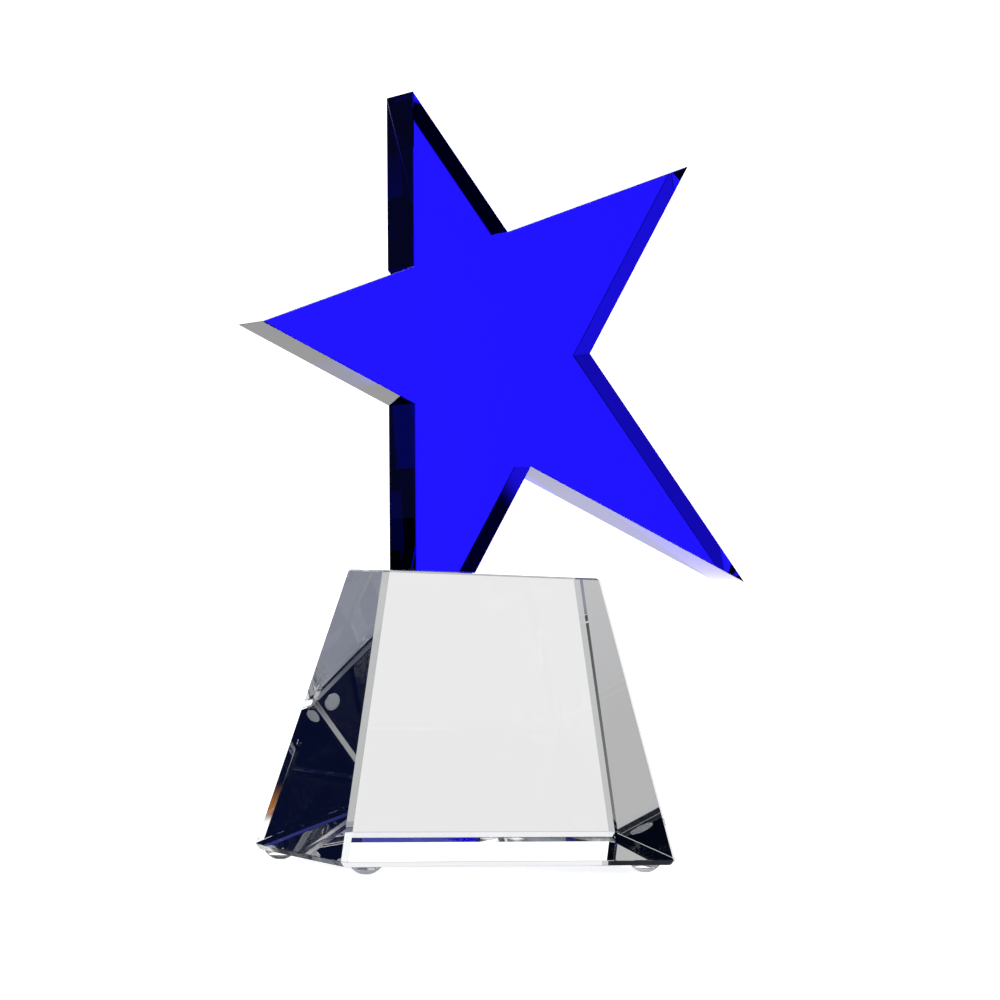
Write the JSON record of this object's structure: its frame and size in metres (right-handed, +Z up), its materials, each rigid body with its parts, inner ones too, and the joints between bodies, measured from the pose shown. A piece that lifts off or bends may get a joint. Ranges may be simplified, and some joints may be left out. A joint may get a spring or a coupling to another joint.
{
  "type": "crystal award",
  "caption": "Free-standing award: a thick blue crystal star bonded on one cut-off point to a clear tapered crystal block with bumper feet.",
  "frame": {"origin": "on the surface that the feet stand on, under the middle of the whole award's box", "axes": "+Z up; +X to the right along the block's broad front face; +Y from the front face to the back face, across the star's thickness"},
  "size_m": [0.1462, 0.0566, 0.2021],
  "materials": {
    "blue_crystal": "cobalt blue optical crystal, clear all through, with bright polished faces and narrow polished arrises",
    "clear_crystal": "water-clear optical crystal, bright polished faces and narrow polished arrises",
    "bond_adhesive": "clear light-cured adhesive film",
    "bumper_plastic": "clear soft moulded polyurethane",
    "pad_adhesive": "clear pressure-sensitive adhesive"
  },
  "bodies": {
    "root": {"crystal_star": "blue_crystal", "crystal_base": "clear_crystal", "star_bond_film": "bond_adhesive", "foot_front_left": "bumper_plastic", "foot_front_right": "bumper_plastic", "foot_back_left": "bumper_plastic", "foot_back_right": "bumper_plastic", "foot_adhesive_front_left": "pad_adhesive", "foot_adhesive_front_right": "pad_adhesive", "foot_adhesive_back_left": "pad_adhesive", "foot_adhesive_back_right": "pad_adhesive"}
  },
  "joints": []
}
